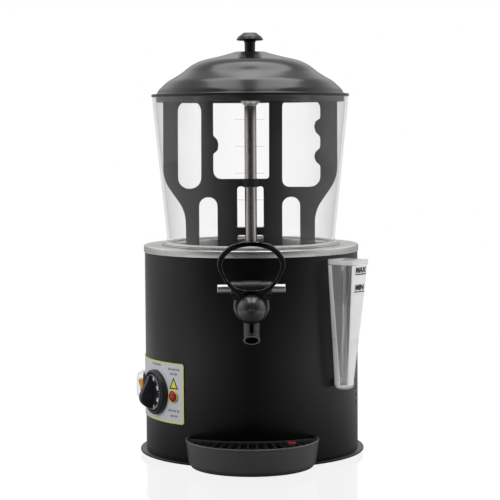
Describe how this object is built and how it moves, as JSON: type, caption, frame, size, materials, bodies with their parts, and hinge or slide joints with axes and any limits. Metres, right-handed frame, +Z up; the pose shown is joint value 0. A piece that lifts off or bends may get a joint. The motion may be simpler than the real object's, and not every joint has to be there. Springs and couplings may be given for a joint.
{
  "type": "hot chocolate dispenser",
  "caption": "Countertop hot drink dispenser: clear stirred bowl over a heated water bath, with a lever tap, fill-level funnel, thermostat dial and drip tray.",
  "frame": {"origin": "on the body's axis, at the underside of the base pan", "axes": "+Z up; the tap faces -Y; +X is the viewer's right when facing the tap"},
  "size_m": [0.3111, 0.3896, 0.5725],
  "materials": {
    "body_paint": "black powder coat, satin",
    "black_plastic": "black moulded plastic, semi-gloss",
    "lid_plastic": "black moulded plastic, satin",
    "clear_plastic": "clear polycarbonate, polished",
    "steel": "brushed stainless steel",
    "bright_steel": "polished stainless steel",
    "zinc": "zinc plated steel",
    "rubber": "black rubber, matt",
    "silicone": "clear silicone",
    "label_film": "pale grey printed film",
    "red_lens": "red lens",
    "ring_yellow": "yellow ring",
    "rocker_orange": "orange moulded plastic",
    "float_red": "red moulded plastic",
    "element": "heat-darkened sheathed element"
  },
  "bodies": {
    "machine": {"base_pan": "body_paint", "foot_1": "rubber", "foot_2": "rubber", "foot_3": "rubber", "foot_4": "rubber", "base_screw_1": "zinc", "base_screw_2": "zinc", "base_screw_3": "zinc", "body_shell": "body_paint", "deck_ring": "bright_steel", "steel_pot": "steel", "water_tank": "steel", "outlet_seal": "silicone", "heating_element": "element", "element_plate": "zinc", "thermal_cutout": "black_plastic", "terminal_block": "black_plastic", "centre_tube": "steel", "shaft_bush_top": "black_plastic", "shaft_bush_bottom": "black_plastic", "gearbox": "zinc", "drive_motor": "zinc", "motor_bracket": "zinc", "bowl": "clear_plastic", "bowl_gasket": "silicone", "tap_body": "black_plastic", "tap_spout": "black_plastic", "tap_gasket": "rubber", "tap_nut": "bright_steel", "tap_pin": "bright_steel", "tap_spring": "bright_steel", "fill_funnel": "clear_plastic", "inlet_spigot": "steel", "inlet_nut": "zinc", "tray_bracket": "zinc", "control_label": "label_film", "lamp_bezel": "ring_yellow", "lamp_lens": "red_lens", "thermostat_body": "black_plastic", "thermostat_bezel": "black_plastic", "rocker_housing": "black_plastic", "switch_cover": "clear_plastic", "cable_gland": "black_plastic", "drain_pipe": "steel"},
    "lid": {"lid": "lid_plastic", "lid_knob": "black_plastic", "knob_screw": "zinc"},
    "mixer": {"drive_shaft": "steel", "drive_cap": "bright_steel", "mixer_paddle": "black_plastic", "paddle_nut": "black_plastic"},
    "tap_handle": {"tap_handle": "black_plastic"},
    "tap_valve": {"tap_plunger": "bright_steel", "tap_seal": "rubber"},
    "thermostat_knob": {"thermostat_knob": "black_plastic"},
    "rocker": {"rocker_lever": "rocker_orange"},
    "tray": {"drip_tray": "black_plastic"},
    "grate": {"drip_grate": "black_plastic"},
    "float": {"tray_float": "float_red"},
    "drain_cap": {"drain_cap": "black_plastic"}
  },
  "joints": [
    {"name": "lid_lift", "type": "slide", "parent": "machine", "child": "lid", "axis": [0, 0, 1], "range_m": [0, 0.15]},
    {"name": "mixer_spin", "type": "hinge", "parent": "machine", "child": "mixer", "pos_m": [0, 0, 0.3], "axis": [0, 0, 1], "continuous": true},
    {"name": "tap_handle_pull", "type": "hinge", "parent": "machine", "child": "tap_handle", "pos_m": [0, -0.185, 0.2366], "axis": [1, 0, 0], "range_deg": [0, 12], "stiffness_Nm_per_rad": 0.4, "springref_deg": -28.65},
    {"name": "tap_valve_slide", "type": "slide", "parent": "machine", "child": "tap_valve", "axis": [0, 1, 0], "range_m": [0, 0.0056], "deforming": ["tap_spring"]},
    {"name": "thermostat_turn", "type": "hinge", "parent": "machine", "child": "thermostat_knob", "pos_m": [-0.13119, -0.07272, 0.0887], "axis": [-0.8746, -0.4848, 0], "range_deg": [-270, 0]},
    {"name": "rocker_tilt", "type": "hinge", "parent": "machine", "child": "rocker", "pos_m": [-0.14041, -0.0049, 0.089], "axis": [0.0349, -0.9994, 0], "range_deg": [-18, 0]},
    {"name": "tray_pull", "type": "slide", "parent": "machine", "child": "tray", "axis": [0, -1, 0], "range_m": [0, 0.1]},
    {"name": "grate_lift", "type": "slide", "parent": "tray", "child": "grate", "axis": [0, 0, 1], "range_m": [0, 0.06]},
    {"name": "float_rise", "type": "slide", "parent": "tray", "child": "float", "axis": [0, 0, 1], "range_m": [0, 0.01]},
    {"name": "drain_cap_pull", "type": "slide", "parent": "machine", "child": "drain_cap", "axis": [0, 1, 0], "range_m": [0, 0.025]}
  ],
  "couplings": [
    {"joint": "tap_valve_slide", "follows": "tap_handle_pull", "m_per_rad": 0.0255}
  ]
}
